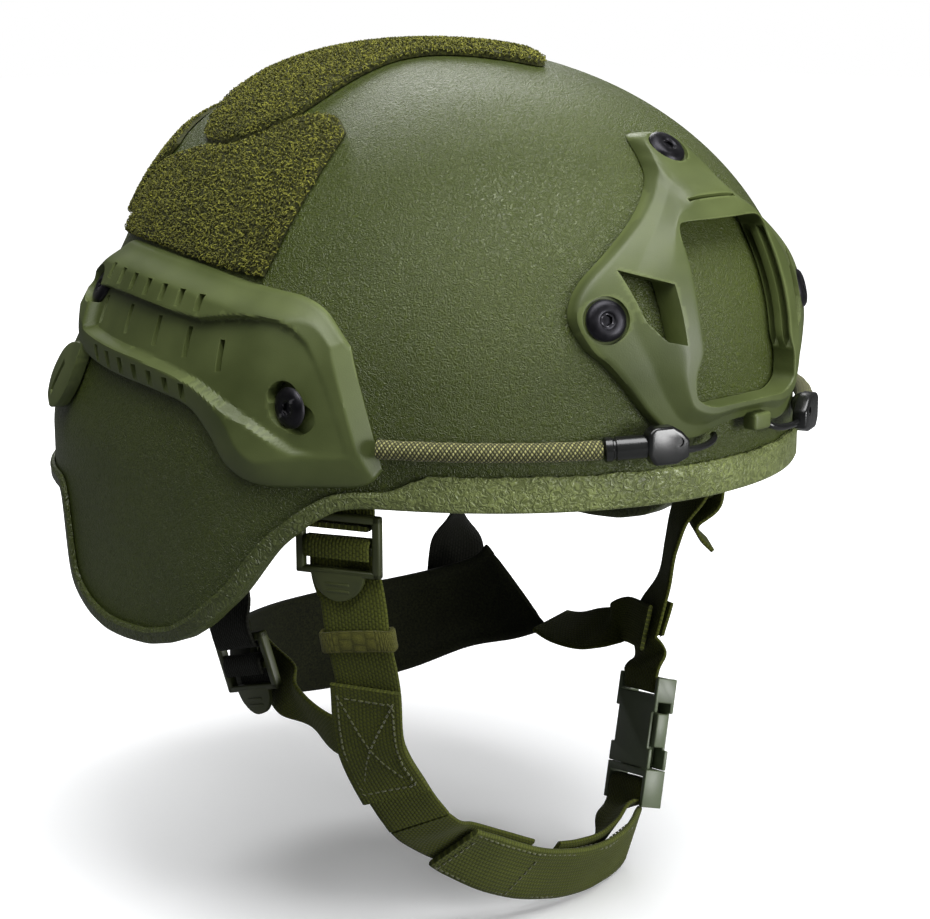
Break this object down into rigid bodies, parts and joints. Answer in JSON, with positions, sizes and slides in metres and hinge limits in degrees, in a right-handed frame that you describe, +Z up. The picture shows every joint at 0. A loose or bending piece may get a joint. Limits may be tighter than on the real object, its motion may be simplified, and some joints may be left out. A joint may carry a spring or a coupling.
{
  "type": "combat helmet",
  "caption": "Olive textured helmet with ear flaps, side rails, front shroud, loop panels, inner pads, elastic cords and a strap harness with a chin cup and side release buckle.",
  "frame": {"origin": "middle of the head opening, on the height of the lower edge of the front brim, under the middle of the crown", "axes": "+Z up through the crown, the face looks along -Y, the wearer's left is +X"},
  "size_m": [0.2712, 0.3108, 0.332],
  "materials": {
    "shell_paint": "wormy textured olive drab paint with a low sheen",
    "trim_rubber": "painted over rubber edging",
    "loop_fabric": "fuzzy loop pile",
    "moulded_green": "fine grained moulding",
    "black_steel": "black oxide, satin",
    "webbing": "woven nylon webbing",
    "black_plastic": "moulded, satin",
    "pad_fabric": "brushed fabric over foam",
    "band_fabric": "dark padded band",
    "cord_braid": "braided elastic cord",
    "black_gloss": "glossy moulding"
  },
  "bodies": {
    "helmet": {"shell": "shell_paint", "edge_trim": "trim_rubber", "crown_loop_panel": "loop_fabric", "side_loop_panel_right": "loop_fabric", "side_loop_panel_left": "loop_fabric", "rear_loop_panel": "loop_fabric", "shroud": "moulded_green", "shroud_screws": "black_steel", "shroud_nuts": "black_steel", "rail_right": "moulded_green", "rail_left": "moulded_green", "front_bolts": "black_steel", "front_nuts": "black_steel", "rear_bolts": "black_steel", "rear_nuts": "black_steel", "rear_strap_right": "webbing", "rear_strap_left": "webbing", "nape_lock_right": "black_plastic", "nape_lock_left": "black_plastic", "nape_loop_right": "webbing", "nape_loop_left": "webbing", "nape_band": "band_fabric", "pad_crown": "pad_fabric", "pad_front": "pad_fabric", "pad_rear": "pad_fabric", "pad_right_front": "pad_fabric", "pad_right_rear": "pad_fabric", "pad_left_front": "pad_fabric", "pad_left_rear": "pad_fabric", "hook_patches": "black_plastic", "lower_strap_right": "webbing", "lower_strap_left": "webbing"},
    "chin_harness": {"front_tab_right": "webbing", "front_tab_left": "webbing", "front_lock_right": "black_plastic", "front_lock_left": "black_plastic", "front_strap_right": "webbing", "front_strap_left": "webbing", "keeper_right": "webbing", "junction_patch_right": "webbing", "junction_patch_left": "webbing", "strap_tail_left": "webbing", "buckle_socket": "black_plastic"},
    "chin_piece": {"buckle_plug": "black_plastic", "chin_strap_left": "webbing", "chin_cup": "webbing", "chin_strap_right": "webbing"},
    "front_prong": {"buckle_prong_front": "black_plastic"},
    "rear_prong": {"buckle_prong_rear": "black_plastic"},
    "right_cord": {"bungee_right": "cord_braid", "bungee_hook_right": "black_gloss"},
    "left_cord": {"bungee_left": "cord_braid", "bungee_hook_left": "black_gloss"}
  },
  "joints": [
    {"name": "chin_swing", "type": "hinge", "parent": "helmet", "child": "chin_harness", "pos_m": [0, -0.049, 0.034], "axis": [1, 0, 0], "range_deg": [-3, 10], "deforming": ["lower_strap_right", "lower_strap_left"]},
    {"name": "buckle_release", "type": "slide", "parent": "chin_harness", "child": "chin_piece", "axis": [-0.2863, -0.0859, -0.9543], "range_m": [0, 0.022], "deforming": ["chin_strap_right"]},
    {"name": "front_prong_squeeze", "type": "hinge", "parent": "chin_piece", "child": "front_prong", "pos_m": [0.06012, -0.05425, -0.13947], "axis": [-0.9024, 0.359, 0.2384], "range_deg": [0, 6], "stiffness_Nm_per_rad": 0.1},
    {"name": "rear_prong_squeeze", "type": "hinge", "parent": "chin_piece", "child": "rear_prong", "pos_m": [0.06463, -0.04124, -0.14199], "axis": [-0.9024, 0.359, 0.2384], "range_deg": [-6, 0], "stiffness_Nm_per_rad": 0.1},
    {"name": "right_cord_swing", "type": "hinge", "parent": "helmet", "child": "right_cord", "pos_m": [-0.1093, -0.07711, 0.0215], "axis": [0, 0, -1], "range_deg": [0, 50]},
    {"name": "left_cord_swing", "type": "hinge", "parent": "helmet", "child": "left_cord", "pos_m": [0.1093, -0.07711, 0.0215], "axis": [0, 0, 1], "range_deg": [0, 50]}
  ],
  "couplings": [
    {"joint": "rear_prong_squeeze", "follows": "front_prong_squeeze", "ratio": -1}
  ]
}
